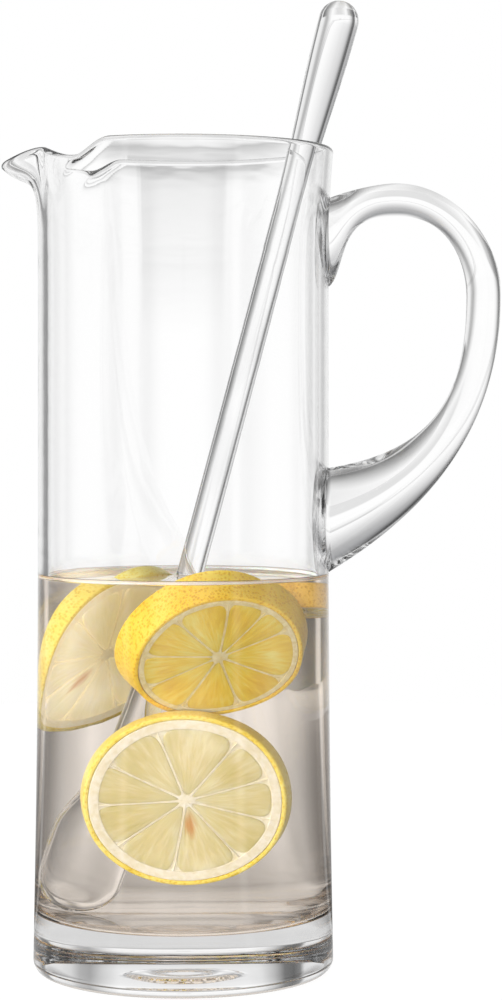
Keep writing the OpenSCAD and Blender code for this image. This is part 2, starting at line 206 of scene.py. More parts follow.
def add(tree, kind, inputs=None, out=0, stops=None, **settings):
    """Adds a node, sets its properties, and for each input sets a value or links a socket. stops are the
    (position, hex) pairs of a colour ramp. It hands on the output that out names, if the node has any."""
    made = tree.nodes.new(kind)
    for key, value in settings.items():
        setattr(made, key, value)
    for key, value in (inputs or {}).items():
        if isinstance(value, bpy.types.NodeSocket):
            tree.links.new(value, made.inputs[key])
        else:
            made.inputs[key].default_value = value
    if stops:
        marks = made.color_ramp.elements
        marks[0].position, marks[0].color = stops[0][0], colour(stops[0][1])
        marks[1].position, marks[1].color = stops[-1][0], colour(stops[-1][1])
        for position, shade in stops[1:-1]:
            marks.new(position).color = colour(shade)
    return made.outputs[out] if len(made.outputs) else made


def new_material(name):
    """An empty node material and its tree."""
    made = bpy.data.materials.new(name)
    made.use_nodes = True
    made.node_tree.nodes.clear()
    print("finish:", name)
    return made, made.node_tree


# %% [markdown]
# ## Glass
#
# The vessel, handle and stirrer are clear soda-lime glass, blown or pulled hot and fire polished, so the
# surface is perfectly smooth with only faint waves from the tool. A Principled shader with full transmission
# and an IOR of 1.5 bends light as the real glass does. Glass is drawn by its edges, and these are painted
# shade: where the eye looks along the surface, Layer Weight darkens the base colour to grey. The drink is
# made the same way, with the IOR of water, a faint warm tint and the same painted shade at its edges. Rays
# from lamps pass straight through, so the lemon inside is lit without the noise of true caustics.

# %% Glass and water
GLASS_IOR, WATER_IOR = 1.5, 1.333
# Base colours by viewing angle: painted shade that greys the edges; the drink's stops also hold its warm tint
WALL_EDGE_SHADE = [(0.0, "#FFFFFF"), (0.55, "#FEFEFE"), (0.75, "#F0F0F0"), (0.88, "#C6C6C6"), (1.0, "#808080")]
CANE_EDGE_SHADE = [(0.0, "#FFFFFF"), (0.8, "#FAFAFA"), (1.0, "#C8C8C8")]
WATER_TINT_EDGE_SHADE = [(0.0, "#F5EADF"), (0.7, "#F2E7DB"), (1.0, "#E6DACE")]


def clear_material(name, ior, stops, shadow_hex, wave_mm, wave_depth_mm):
    """Clear glass or drink: painted edge shade by viewing angle, faint waves, straight light for lamps."""
    made, tree = new_material(name)
    waves = add(tree, "ShaderNodeTexNoise", {
        "Vector": add(tree, "ShaderNodeMapping", {
            "Vector": add(tree, "ShaderNodeTexCoord", out="Object"),
            "Scale": [1 / (MM * size) for size in wave_mm]}),
        "Scale": 1.0, "Detail": 1.0, "Roughness": 0.4})
    edge = add(tree, "ShaderNodeLayerWeight", {"Blend": 0.5}, out="Facing")
    glass = add(tree, "ShaderNodeBsdfPrincipled", {
        "Base Color": add(tree, "ShaderNodeValToRGB", {"Fac": edge}, stops=stops),
        "IOR": ior, "Transmission Weight": 1.0, "Roughness": 0.0,
        "Normal": add(tree, "ShaderNodeBump", {
            "Height": waves, "Strength": 1.0, "Distance": wave_depth_mm * MM})})
    add(tree, "ShaderNodeOutputMaterial", {"Surface": add(tree, "ShaderNodeMixShader", {
        0: add(tree, "ShaderNodeLightPath", out="Is Shadow Ray"), 1: glass,
        2: add(tree, "ShaderNodeBsdfTransparent", {"Color": colour(shadow_hex)})})})
    return made


blown_glass = clear_material("blown_glass", GLASS_IOR, WALL_EDGE_SHADE, "#F8F8F8", (14.0, 14.0, 5.0), 0.02)
pulled_glass = clear_material("pulled_glass", GLASS_IOR, CANE_EDGE_SHADE, "#F8F8F8", (9.0, 9.0, 24.0), 0.02)
lemon_water = clear_material("lemon_water", WATER_IOR, WATER_TINT_EDGE_SHADE, "#F8F3EE", (16.0, 16.0, 16.0), 0.01)

# %% [markdown]
# ## Vessel
#
# A gather of glass was blown into a straight mould, cut at the top and fire polished. It has a thick solid
# foot, a faint flare towards the mouth, and a spout that was pulled out and pinched on both sides while hot.
# The whole wall is one section, carried round the axis, which is how a lathe or the Screw modifier would do
# it. Below the lip the section is the same everywhere. In the lip each angle has its own: the plain wall,
# the beak, or the dips. That is why the section is worked out here and not turned by a modifier.

# %% Vessel: measures
VESSEL_H, WAIST_R, WALL_T, RIM_T = 260.0, 46.0, 3.0, 2.7
FOOT_SWELL, FOOT_SWELL_H, FOOT_H = 1.5, 150.0, 18.2
FOOT_ROUND, FLOOR_ROUND = 4.2, 5.0
MOUTH_FLARE, MOUTH_FLARE_H = 1.6, 48.0
RING_W, BASE_HOLLOW = 14.0, 0.8
LIP_H, SPOUT_REACH, BEAK_HALF = 34.0, 11.8, 21.0
NOTCH_AT, NOTCH_IN, NOTCH_OUT, NOTCH_TURN = 43.0, 33.0, 20.0, 45.0
NOTCH_DROP, NOTCH_PINCH = 4.7, 2.0
BEAK_SHARES = [(0, 0), (0, 0.39), (0.02, 0.865), (0.305, 0.61), (1, 0.832)]
LIP_Z, RIM_MID_Z, BORE_R = VESSEL_H - LIP_H, VESSEL_H - RIM_T / 2, WAIST_R - WALL_T
print("bore", 2 * BORE_R, "mm wide, lip from", LIP_Z, "mm up")


def outer_r(z):
    """Outside radius: the waist, a swell that dies out above the foot, and a late flare at the mouth."""
    swell = (1 - ramp(z, 0, FOOT_SWELL_H)) ** 2
    return WAIST_R + FOOT_SWELL * swell + MOUTH_FLARE * ramp(z, VESSEL_H - MOUTH_FLARE_H, VESSEL_H) ** 3


def bore_r(z):
    """Inside radius: the plain bore, plus the flare and what the wall loses in thickness towards the rim."""
    return BORE_R + (MOUTH_FLARE + WALL_T - RIM_T) * ramp(z, VESSEL_H - MOUTH_FLARE_H, VESSEL_H) ** 3


# %% Vessel: lip and spout


def bump(angle, half):
    """A smooth hill: half of 1 plus the cosine, 1 in the middle and 0 from a half angle on."""
    return np.where(np.abs(angle) < half, (1 + np.cos(np.pi * angle / half)) / 2, 0)


def lip_middle(angle, s):
    """Middle of the lip's glass as (radius, height), at angles from the tip and shares s of the lip's height.
    It mixes the plain wall with the beak near the tip, then pinches the dips down and in beside it."""
    angle, s = np.broadcast_arrays(angle, s)
    up = np.maximum(s, 0)
    z = LIP_Z + s * (RIM_MID_Z - LIP_Z)
    wall = np.stack([(outer_r(z) + bore_r(z)) / 2, z], axis=-1)
    curve = bezier(BEAK_SHARES, up.ravel()).reshape(up.shape + (2,))
    foot_r = (outer_r(np.array(LIP_Z)) + bore_r(np.array(LIP_Z))) / 2
    beak = np.stack([foot_r + SPOUT_REACH * curve[..., 0], LIP_Z + LIP_H * curve[..., 1]], axis=-1)
    share = np.where(s > 0, bump(angle, BEAK_HALF), 0)[..., None]
    away = np.abs(angle) - NOTCH_AT + NOTCH_TURN * (1 - s)
    dip = np.where(away < 0, bump(away, NOTCH_IN), bump(away, NOTCH_OUT)) * up ** 5
    return wall * (1 - share) + beak * share - dip[..., None] * np.array([NOTCH_PINCH, NOTCH_DROP])


def lip_side(angle, s, side):
    """One face of the lip: its middle moved half a thickness along the normal, out (1), in (-1) or not (0).
    It also gives the directions along the glass and out of it."""
    step = 0.005
    along = lip_middle(angle, s + step) - lip_middle(angle, s - step)
    along /= np.linalg.norm(along, axis=-1, keepdims=True)
    out = np.stack([along[..., 1], -along[..., 0]], axis=-1)
    thick = (WALL_T + (RIM_T - WALL_T) * ramp(s, 0, 1))[..., None]
    return lip_middle(angle, s) + side * out * thick / 2, along, out


# %% Vessel: angles and rows
near_spout, round_back = np.linspace(-70, 70, 141), np.linspace(72, 288, 109)
lip_angle = np.concatenate([near_spout, round_back])
angles = np.where(lip_angle > 180, lip_angle - 360, lip_angle)[None, :]
steps_round = len(lip_angle)
share = (1 - (1 - np.linspace(0, 1, 40)) ** 1.25)[:, None] * np.ones((1, steps_round))
print("vessel sections:", steps_round)

# %% [markdown]
# The ground mark under the foot has a bright ragged rim and a smaller ring, both worn into the glass by the
# iron. It is a turned profile whose radius wanders by a sum of sines, most where the rings are.

# %% Vessel: ground mark and foot
MARK_MM = [(0.6, 0.75), (3.0, 0.75), (5.0, 0.72), (5.6, 0.35), (6.1, 0.6),
           (8.0, 1.0), (10.5, 0.9), (11.9, 0.55), (12.3, 0.1), (12.9, 0)]
RAGGED = [0, 0, 0.2, 0.5, 0.3, 0, 0, 0.25, 0.45, 0]
RING_WAVES = [(7, 0.4, 0.3), (13, 1.9, 0.25), (23, 0.8, 0.25), (41, 2.6, 0.2)]

foot_r = float(outer_r(np.array(FOOT_ROUND))) - FOOT_ROUND
ring_r = foot_r - RING_W
ring_waves = sum(np.sin(np.radians(lip_angle) * k + p) * w for k, p, w in RING_WAVES)
underside = turned(np.array(MARK_MM) + (0, BASE_HOLLOW), steps_round)
underside[..., 0] += np.array(RAGGED)[:, None] * ring_waves[None, :]
foot = np.concatenate([
    np.stack([np.linspace(14, ring_r - 1.6, 8), np.full(8, BASE_HOLLOW)], axis=-1),
    [(ring_r - 0.8, BASE_HOLLOW * 0.7), (ring_r, 0.1), (ring_r + 0.4, 0), ((ring_r + foot_r) / 2, 0)],
    arc((foot_r, FOOT_ROUND), FOOT_ROUND, -90, 0, 14)])

# %% Vessel: wall, rim and bore
wall_z = np.linspace(FOOT_ROUND + 1.5, LIP_Z - 0.4, 48)
outside = np.stack([outer_r(wall_z), wall_z], axis=-1)
rim_mid, rim_along, rim_out = lip_side(angles, np.ones((1, steps_round)), 0)
rim = np.concatenate([
    rim_mid + (rim_out * math.cos(q) + rim_along * math.sin(q)) * RIM_T / 2
    for q in [math.radians(180 * i / 13) for i in range(1, 13)]])
bore_z = np.linspace(LIP_Z - 0.4, FOOT_H + FLOOR_ROUND + 0.5, 48)
bore = np.stack([bore_r(bore_z), bore_z], axis=-1)
floor_corner = arc((BORE_R - FLOOR_ROUND, FOOT_H + FLOOR_ROUND), FLOOR_ROUND, 0, -90, 12)
floor_flat = np.stack([np.linspace(BORE_R - FLOOR_ROUND - 2, 0.8, 9), np.full(9, FOOT_H)], axis=-1)

# %% Vessel: section carried round the axis
section = np.concatenate([
    underside, turned(foot, steps_round), turned(outside, steps_round),
    lip_side(angles, share, 1)[0], rim, lip_side(angles, share, -1)[0][::-1],
    turned(bore, steps_round), turned(floor_corner, steps_round), turned(floor_flat, steps_round)])
turn = np.radians(lip_angle)[None, :]
vessel_points = np.stack([
    -section[..., 0] * np.cos(turn), -section[..., 0] * np.sin(turn), section[..., 1]], axis=-1)
piece("vessel_blown", [shell(vessel_points)], "pitcher", ["vessel"], blown_glass)

# %% [markdown]
# Where the iron was ground away, two thin ragged rings stay matt and white. They lie in the hollow under the
# foot, and the thick glass above magnifies them. Ground glass scatters nearly all light, so a rough white
# shader with a fine grain stands for it.

# %% Vessel: ground rings
GROUND_RINGS_MM = [(12.2, 0.28, 2.0), (5.4, 0.5, 1.4)]
RING_WANDER = [(5, 0.3, 0.09), (11, 1.7, 0.08), (19, 0.9, 0.09), (37, 2.2, 0.08), (61, 4.1, 0.06)]
RING_UP_MM, RING_HALF_T, GROUND_GRAIN_MM = BASE_HOLLOW - 0.3, 0.18, 0.6


def ground_ring(r_mm, half_w, wild):
    """A flat ring, an ellipse carried round the axis, whose radius and width wander by sums of sines."""
    a, q = circle(360)[None, :], circle(10)[:, None]
    wander = sum(np.sin(k * a + p) * w for k, p, w in RING_WANDER)
    width = half_w * (0.7 + wild * np.abs(wander) * 3)
    r = r_mm + wild * wander + width * np.cos(q)
    return shell(about_axis(r, a, RING_UP_MM + RING_HALF_T * np.sin(q)), loop=True)


ground_glass, tree = new_material("ground_glass")
grain = add(tree, "ShaderNodeTexNoise", {
    "Vector": add(tree, "ShaderNodeTexCoord", out="Object"),
    "Scale": 1 / (GROUND_GRAIN_MM * MM), "Detail": 2.0})
add(tree, "ShaderNodeOutputMaterial", {"Surface": add(tree, "ShaderNodeBsdfPrincipled", {
    "Base Color": add(tree, "ShaderNodeValToRGB", {"Fac": grain},
                      stops=[(0.35, "#E9E9E9"), (0.6, "#FFFFFF")]),
    "Roughness": 0.7, "IOR": GLASS_IOR, "Normal": add(tree, "ShaderNodeBump", {
        "Height": grain, "Strength": 0.6, "Distance": 0.08 * MM})})})
piece("vessel_ground_rings", [ground_ring(*ring) for ring in GROUND_RINGS_MM],
      "pitcher", ["vessel"], ground_glass)

# %% [markdown]
# ## Handle
#
# The handle is a second gather: pressed on to the wall below the rim, pulled out into a loop, and pressed on
# again lower down, where the soft glass spread. Its two edges, seen from the side, are joined Bezier curves,
# and every cross-section between them is an ellipse. The ends reach into the wall, where the glass fused.

# %% Handle: its two edges
HANDLE_H, HANDLE_DROP, HANDLE_REACH, HANDLE_W, SEAT_W = 123.0, 11.0, 54.6, 13.5, 21.0
OUTER_EDGE = [
    [(-0.03, 0.955), (0.04, 0.974), (0.27, 1), (0.392, 1)],
    [(0.392, 1), (0.723, 1), (1, 0.862), (1, 0.713)],
    [(1, 0.713), (1, 0.319), (0.444, 0.115), (-0.03, -0.01)]]
INNER_EDGE = [
    [(-0.03, 0.728), (0.084, 0.736), (0.066, 0.829), (0.1, 0.916), (0.256, 0.916), (0.402, 0.916)],
    [(0.402, 0.916), (0.71, 0.916), (0.8, 0.789), (0.8, 0.707)],
    [(0.8, 0.707), (0.8, 0.466), (0.644, 0.308), (-0.03, 0.265)]]


def handle_edge(stretches, steps):
    """An edge of the loop: Bezier stretches end to end, in shares of the reach and the height."""
    t = np.linspace(0, 1, steps)
    shares = np.concatenate([bezier(s, t)[1 if k else 0:] for k, s in enumerate(stretches)])
    base = VESSEL_H - HANDLE_DROP - HANDLE_H
    return np.array([WAIST_R, base]) + shares * np.array([HANDLE_REACH, HANDLE_H])


# %% Handle: ellipses between the edges
handle_outer, handle_inner = handle_edge(OUTER_EDGE, 48), handle_edge(INNER_EDGE, 48)
path_share = np.linspace(0, 1, len(handle_outer))
half_width = (HANDLE_W + (SEAT_W - HANDLE_W) * smooth(ramp(path_share, 0.6, 1))) / 2
middle, half = (handle_outer + handle_inner) / 2, (handle_outer - handle_inner) / 2
q = circle(56)[None, :]
handle_points = np.stack([
    middle[:, :1] + half[:, :1] * np.cos(q),
    half_width[:, None] * np.sin(q),
    middle[:, 1:] + half[:, 1:] * np.cos(q)], axis=-1)
piece("handle_pulled", [shell(handle_points)], "pitcher", ["handle"], pulled_glass)

# %% [markdown]
# ## Stirrer
#
# A cane of glass, melted to a round knob at the top and pressed flat into a paddle at the foot. It is a
# straight loft: ellipses along its own axis, whose two half widths change from the paddle to the rod.

# %% Stirrer: measures and rod
STIRRER_L, ROD_D, KNOB_D, TAPER_L = 300.0, 8.6, 13.0, 62.0
PADDLE_W, PADDLE_T, PADDLE_L, NECK_L = 19.5, 4.0, 24.0, 26.0
FOOT_X, FOOT_Y, LEAN_DEG, REST_GAP = 26.5, 8.5, 17.0, 0.3


def rod_radius(s):
    """Radius of the plain rod at a distance from the foot: even, then a taper to the knob and its dome."""
    top = STIRRER_L - KNOB_D / 2
    dome = KNOB_D / 2 * np.sqrt(np.clip(1 - (np.maximum(s - top, 0) / (KNOB_D / 2)) ** 2, 0, 1))
    return np.where(s > top, dome, ROD_D / 2 + (KNOB_D - ROD_D) / 2 * smooth(ramp(s, top - TAPER_L, top)))


def round_end(s, r):
    """Share of the full width near a round end of radius r."""
    return np.sqrt(np.clip(1 - (1 - np.minimum(1, s / r)) ** 2, 0, 1))


# %% Stirrer: how it leans


def lean_on_rim():
    """Where the stirrer stands and leans: its foot on the floor, its side against the rim."""
    bore = float(bore_r(np.array(RIM_MID_Z)))
    tilt = math.atan((FOOT_X + bore - ROD_D) / (RIM_MID_Z - FOOT_H))
    rod = float(rod_radius(np.array((RIM_MID_Z - FOOT_H) / math.cos(tilt)))) / math.cos(tilt)
    reach, lean = bore - REST_GAP - rod, math.radians(LEAN_DEG)
    low = np.array([-FOOT_X, FOOT_Y, FOOT_H + REST_GAP + PADDLE_W / 2 * (1 - math.cos(tilt))])
    return low, np.array([reach * math.cos(lean), reach * math.sin(lean), RIM_MID_Z])


stirrer_low, stirrer_high = lean_on_rim()
stirrer_axis = (stirrer_high - stirrer_low) / np.linalg.norm(stirrer_high - stirrer_low)
stirrer_thin = np.cross(stirrer_axis, [1, 0, 0])
stirrer_thin /= np.linalg.norm(stirrer_thin)
stirrer_wide = np.cross(stirrer_thin, stirrer_axis)
print("stirrer leans along", stirrer_axis.round(3))

# %% Stirrer: loft
tip, knob = PADDLE_W / 2, KNOB_D / 2
stations = np.concatenate([
    tip * (1 - np.cos(np.radians(np.linspace(4, 90, 16)))),
    np.linspace(tip + 1, PADDLE_L + NECK_L + 2, 40),
    np.linspace(PADDLE_L + NECK_L + 8, STIRRER_L - knob - TAPER_L - 2, 24),
    np.linspace(STIRRER_L - knob - TAPER_L, STIRRER_L - knob, 26),
    STIRRER_L - knob + knob * np.sin(np.radians(np.linspace(6, 88, 14)))])
neck = smooth(ramp(stations, PADDLE_L, PADDLE_L + NECK_L))
half_wide = PADDLE_W / 2 * round_end(stations, tip) * (1 - neck) + rod_radius(stations) * neck
half_thick = PADDLE_T / 2 * round_end(stations, PADDLE_T) * (1 - neck) + rod_radius(stations) * neck
q = circle(40)[None, :, None]
stirrer_points = (
    stirrer_low + stations[:, None, None] * stirrer_axis
    + half_wide[:, None, None] * np.cos(q) * stirrer_wide
    + half_thick[:, None, None] * np.sin(q) * stirrer_thin)
piece("stirrer_cane", [shell(stirrer_points)], "stirring_rod", ["stirrer"], pulled_glass)

# %% [markdown]
# ## Drink
#
# Water with a little lemon juice. Its side reaches a hair into the glass, so that light passes from glass to
# water with no film of air between them, which would shine like a mirror. The surface of the water climbs
# the wall and the rod a little. The shape is a turned section, whose top is then raised near both.

# %% Drink: section
DRINK_LEVEL, INTO_GLASS, STEPS_DRINK = 124.0, 0.06, 256
MENISCUS_H, MENISCUS_REACH = 0.5, 1.5
FILM_H, FILM_REACH = 1.1, 0.16

side_r, drink_low = BORE_R + INTO_GLASS, FOOT_H - INTO_GLASS
drink_floor = np.stack([np.linspace(0.5, side_r - FLOOR_ROUND - 1, 12), np.full(12, drink_low)], axis=-1)
drink_corner = arc((side_r - FLOOR_ROUND, drink_low + FLOOR_ROUND), FLOOR_ROUND, -90, 0, 12)
# Close rows on both sides of the contact line keep its smooth shading off the plain side and the top
contact_z = DRINK_LEVEL + MENISCUS_H + FILM_H
side_z = np.concatenate([np.linspace(FOOT_H + FLOOR_ROUND + 1, contact_z - 2, 18),
                         contact_z - np.array([1.0, 0.4, 0.15, 0.05, 0.0])])
close_rows = np.array([0.03, 0.08, 0.13, 0.2, 0.28, 0.38, 0.5, 0.65, 0.85, 1.1, 1.5, 2.0, 2.7, 3.6, 4.8])
top_r = np.concatenate([side_r - close_rows, np.linspace(37, 0.6, 62)])
drink_section = np.concatenate([
    drink_floor, drink_corner, np.stack([np.full(len(side_z), side_r), side_z], axis=-1),
    np.stack([top_r, np.full(len(top_r), DRINK_LEVEL)], axis=-1)])

# %% Drink: surface
drink_points = about_axis(drink_section[:, :1], circle(STEPS_DRINK)[None, :], drink_section[:, 1:])
top = drink_points[-len(top_r):]
at_level = stirrer_low + stirrer_axis * (DRINK_LEVEL - stirrer_low[2]) / stirrer_axis[2]
x, y = top[..., 0], top[..., 1]
from_wall = side_r - np.hypot(x, y)
from_rod = np.maximum(np.hypot(x - at_level[0], y - at_level[1]) - ROD_D / 2, 0)
top[..., 2] += (
    MENISCUS_H * np.exp(-from_wall / MENISCUS_REACH) + FILM_H * np.exp(-from_wall / FILM_REACH)
    + MENISCUS_H * np.exp(-from_rod / MENISCUS_REACH))
piece("drink_lemon_water", [shell(drink_points)], "pitcher", ["drink"], lemon_water)

# %% [markdown]
# At its edge the drink thins out, and the bright line round its surface is reflected room light. A thin ring
# of a pale opaque shader, uneven in height, is that line as a painted highlight.

# %% Drink: painted highlight ring
HIGHLIGHT_MID_R, HIGHLIGHT_MID_Z, HIGHLIGHT_HALF_R, HIGHLIGHT_HALF_Z, HIGHLIGHT_PATCH_MM = 42.6, 124.85, 0.28, 0.42, 6

a, q = circle(360)[None, :], circle(12)[:, None]
highlight_half = HIGHLIGHT_HALF_Z * (1 + 0.2 * np.sin(3 * a + 1) + 0.15 * np.sin(8 * a))
highlight_points = about_axis(HIGHLIGHT_MID_R + HIGHLIGHT_HALF_R * np.cos(q), a, HIGHLIGHT_MID_Z + highlight_half * np.sin(q))
# An opaque pale ring at the waterline: a painted highlight for the meniscus's bright reflection.
painted_meniscus_highlight, tree = new_material("painted_meniscus_highlight")
patches = add(tree, "ShaderNodeTexNoise", {
    "Vector": add(tree, "ShaderNodeTexCoord", out="Object"),
    "Scale": 1 / (HIGHLIGHT_PATCH_MM * MM), "Detail": 1.0})
add(tree, "ShaderNodeOutputMaterial", {"Surface": add(tree, "ShaderNodeBsdfPrincipled", {
    "Base Color": add(tree, "ShaderNodeValToRGB", {"Fac": patches},
                      stops=[(0.3, "#F4F0EA"), (0.6, "#FFFDFA")]),
    "Roughness": 0.25, "IOR": WATER_IOR, "Subsurface Weight": 0.3, "Subsurface Scale": 2 * MM})})
piece("drink_painted_highlight", [shell(highlight_points, loop=True)], "pitcher", ["drink"], painted_meniscus_highlight)

# %% [markdown]
# ## Lemon finishes
#
# A lemon slice shows three tissues. The peel is waxy yellow with oil glands about a millimetre apart. The
# pith is a white sponge. The pulp is packed with juice sacs, thin spindles that all point at the core, so
# its pattern is noise stretched along the radius. All three let light soak in, which keeps them bright from
# every side. The UV map of the slices is in millimetres: arc length across, distance from the core along.

# %% Lemon: moist surface
# GLOW_HEX colours painted light: an emission for light from behind a thin slice.
FLESH_IOR, SOAK_COLOURS, GLOW_HEX = 1.4, (1.0, 0.8, 0.35), "#FFF2C8"


def wet_shader(tree, base, normal, roughness, soak_mm, soak, glow=0.0):
    """A moist, slightly translucent surface: light soaks in by soak_mm and leaves as a soft glow.
    glow is painted light, an emission for what soaks through from the bright room behind a thin slice, which
    the scatter can't reach."""
    add(tree, "ShaderNodeOutputMaterial", {"Surface": add(tree, "ShaderNodeBsdfPrincipled", {
        "Base Color": base, "Roughness": roughness, "Normal": normal, "IOR": FLESH_IOR,
        "Subsurface Weight": soak, "Subsurface Radius": SOAK_COLOURS, "Subsurface Scale": soak_mm * MM,
        "Emission Color": colour(GLOW_HEX), "Emission Strength": glow})})


def weigh(tree, first, first_share, second, second_share):
    """Two patterns added up, each by its share."""
    rest = add(tree, "ShaderNodeMath", {0: second, 1: second_share}, operation="MULTIPLY")
    return add(tree, "ShaderNodeMath", {0: first, 1: first_share, 2: rest}, operation="MULTIPLY_ADD")


# %% Lemon: peel and pith
GLAND_MM, GLAND_DENT_MM, PEEL_PATCH_MM, SPONGE_MM = 1.0, 0.16, 9, 1.6


def peel_material(name, stops):
    """Waxy peel: Voronoi cells are the oil glands, dented and a shade deeper, over slow patches of colour."""
    made, tree = new_material(name)
    place = add(tree, "ShaderNodeTexCoord", out="Object")
    glands = add(tree, "ShaderNodeTexVoronoi", {"Vector": place, "Scale": 1 / (GLAND_MM * MM)})
    slow = add(tree, "ShaderNodeTexNoise", {
        "Vector": place, "Scale": 1 / (PEEL_PATCH_MM * MM), "Detail": 3.0})
    dots = add(tree, "ShaderNodeMapRange", {"Value": glands, "From Min": 0.5, "From Max": 0.1})
    shade = add(tree, "ShaderNodeValToRGB", {"Fac": weigh(tree, dots, 0.5, slow, 0.6)}, stops=stops)
    dents = add(tree, "ShaderNodeBump", {
        "Height": dots, "Strength": 0.8, "Distance": GLAND_DENT_MM * MM}, invert=True)
    wet_shader(tree, shade, dents, roughness=0.34, soak_mm=0.5, soak=0.1)
    return made


def pith_material(name, stops, glow=0.0):
    """Spongy pith: fine noise in white and cream, with a soft uneven surface."""
    made, tree = new_material(name)
    sponge = add(tree, "ShaderNodeTexNoise", {
        "Vector": add(tree, "ShaderNodeTexCoord", out="Object"),
        "Scale": 1 / (SPONGE_MM * MM), "Detail": 4.0})
    soft = add(tree, "ShaderNodeBump", {"Height": sponge, "Strength": 0.6, "Distance": 0.12 * MM})
    shade = add(tree, "ShaderNodeValToRGB", {"Fac": sponge}, stops=stops)
    wet_shader(tree, shade, soft, roughness=0.5, soak_mm=0.8, soak=0.12, glow=glow)
    return made


lemon_peel = peel_material("lemon_peel_waxy", [
    (0.2, "#FFE260"), (0.38, "#FBD640"), (0.6, "#F2C22A"), (0.9, "#DDA81A")])
pale_peel = peel_material("lemon_peel_pale", [
    (0.2, "#FFF08C"), (0.38, "#FCE566"), (0.6, "#F5D94E"), (0.9, "#E4BE34")])
ripe_peel = peel_material("lemon_peel_ripe", [
    (0.2, "#F0C95A"), (0.38, "#E6BB42"), (0.6, "#DAAA2E"), (0.9, "#C89420")])
lemon_pith = pith_material("lemon_pith_sponge", [(0.35, "#EDE6C8"), (0.65, "#F9F6E6")])
soaked_pith = pith_material("lemon_pith_soaked", [(0.35, "#E6D69A"), (0.65, "#F4ECC4")])
# Painted light: pale colours and a glow for the back slice, lit from behind through the water.
backlit_pith_painted = pith_material("lemon_pith_painted_backlight", [(0.35, "#F2E8C2"), (0.65, "#FBF4DC")], 0.2)

# %% Lemon: pulp and seeds
SAC_ACROSS_MM, SAC_ALONG_MM, PULP_PATCH_MM = 1.1, 7.0, 11
SEED_SMEAR_MM, SEED_HEX = (4.4, 1.7, 8.0), "#C98A3C"


def pulp_material(name, stops, spot=None, soak_mm=4.5, soak=0.45, glow=0.0):
    """Juice sacs: noise squeezed across and stretched along the radius, over larger patches of colour.
    spot, a centre and a rotation, is where a seed below the cut shines through as a brown smear."""
    made, tree = new_material(name)
    sacs = add(tree, "ShaderNodeTexNoise", {
        "Vector": add(tree, "ShaderNodeMapping", {
            "Vector": add(tree, "ShaderNodeUVMap", uv_map="surface"),
            "Scale": (1 / SAC_ACROSS_MM, 1 / SAC_ALONG_MM, 1.0)}),
        "Scale": 1.0, "Detail": 2.5, "Roughness": 0.55, "Distortion": 0.3})
    place = add(tree, "ShaderNodeTexCoord", out="Object")
    patches = add(tree, "ShaderNodeTexNoise", {
        "Vector": place, "Scale": 1 / (PULP_PATCH_MM * MM), "Detail": 1.0})
    shade = add(tree, "ShaderNodeValToRGB", {"Fac": weigh(tree, sacs, 0.55, patches, 0.5)}, stops=stops)
    if spot:
        from_seed = add(tree, "ShaderNodeVectorMath", {0: add(tree, "ShaderNodeMapping", {
            "Vector": place, "Location": [v * MM for v in spot[0]], "Rotation": spot[1],
            "Scale": [v * MM for v in SEED_SMEAR_MM]}, vector_type="TEXTURE")},
            out="Value", operation="LENGTH")
        ragged = add(tree, "ShaderNodeMath", {0: from_seed, 1: sacs}, operation="ADD")
        smear = add(tree, "ShaderNodeMapRange", {
            "Value": ragged, "From Min": 1.75, "From Max": 0.95, "To Max": 0.85})
        shade = add(tree, "ShaderNodeMix", {0: smear, 6: shade, 7: colour(SEED_HEX)}, out=2, data_type="RGBA")
    grain = add(tree, "ShaderNodeBump", {"Height": sacs, "Strength": 0.7, "Distance": 0.25 * MM})
    wet_shader(tree, shade, grain, 0.25, soak_mm, soak, glow)
    return made


lemon_seed, tree = new_material("lemon_seed_coat")
streaks = add(tree, "ShaderNodeTexNoise", {
    "Vector": add(tree, "ShaderNodeMapping", {
        "Vector": add(tree, "ShaderNodeUVMap", uv_map="surface"), "Scale": (14.0, 2.0, 1.0)}),
    "Scale": 1.0, "Detail": 2.0})
coat = add(tree, "ShaderNodeValToRGB", {"Fac": streaks}, stops=[(0.3, "#C98F4A"), (0.7, "#E8C58A")])
ribs = add(tree, "ShaderNodeBump", {"Height": streaks, "Strength": 0.5, "Distance": 0.1 * MM})
wet_shader(tree, coat, ribs, roughness=0.35, soak_mm=0.6, soak=0.2)

# %% [markdown]
# ## Lemon slices
#
# Each slice is made flat, with the core at the origin and the cut face up, and is then placed as it floats.
# The peel is a band with rounded edges. The pith is a ring with a core and thin walls between the segments.
# Each pulp segment is its own cushion with rounded corners and slightly domed faces, as the sacs swell. The
# directions of the walls are uneven, as in real fruit.

# %% Slices: measures and place
PEEL_T, CORE_R, WEB_T, CROWN = 1.3, 2.2, 0.55, 0.5
PEEL_GAP, WOBBLE, DOME = 0.05, 0.12, 0.12
PEEL_ROUND, PITH_ROUND, PLATE_ROUND, CORE_ROUND, PULP_ROUND = 0.45, 0.3, 0.2, 0.3, 0.35
PITH_BELOW, WALL_BELOW, PULP_BELOW, PLATE_BELOW = 0.05, 0.08, 0.02, 0.45
RING_OVERLAP, WALL_OVERLAP, WALL_BEND = 0.5, 0.6, 0.25


def slice_place(middle_mm, lean, turn_deg):
    """Matrix from the flat slice to where it floats: tip the face to the viewer, lean it, turn it about Z."""
    a, b = math.radians(90 + lean), math.radians(turn_deg)
    tip_over = np.array([[1, 0, 0], [0, math.cos(a), -math.sin(a)], [0, math.sin(a), math.cos(a)]])
    turn_round = np.array([[math.cos(b), -math.sin(b), 0], [math.sin(b), math.cos(b), 0], [0, 0, 1]])
    return turn_round @ tip_over, np.array(middle_mm, float)


def placed(points, place):
    """Points of the flat slice at their place in the drink."""
    return points @ place[0].T + place[1]


def beside_ray(angle_deg, along, across, z):
    """Points of the flat slice by their distance along a ray from the core and across it."""
    a = math.radians(angle_deg)
    along, across, z = np.broadcast_arrays(along, across, z)
    return np.stack([along * math.cos(a) - across * math.sin(a),
                     along * math.sin(a) + across * math.cos(a), z], axis=-1)


# %% Slices: rings of peel and pith


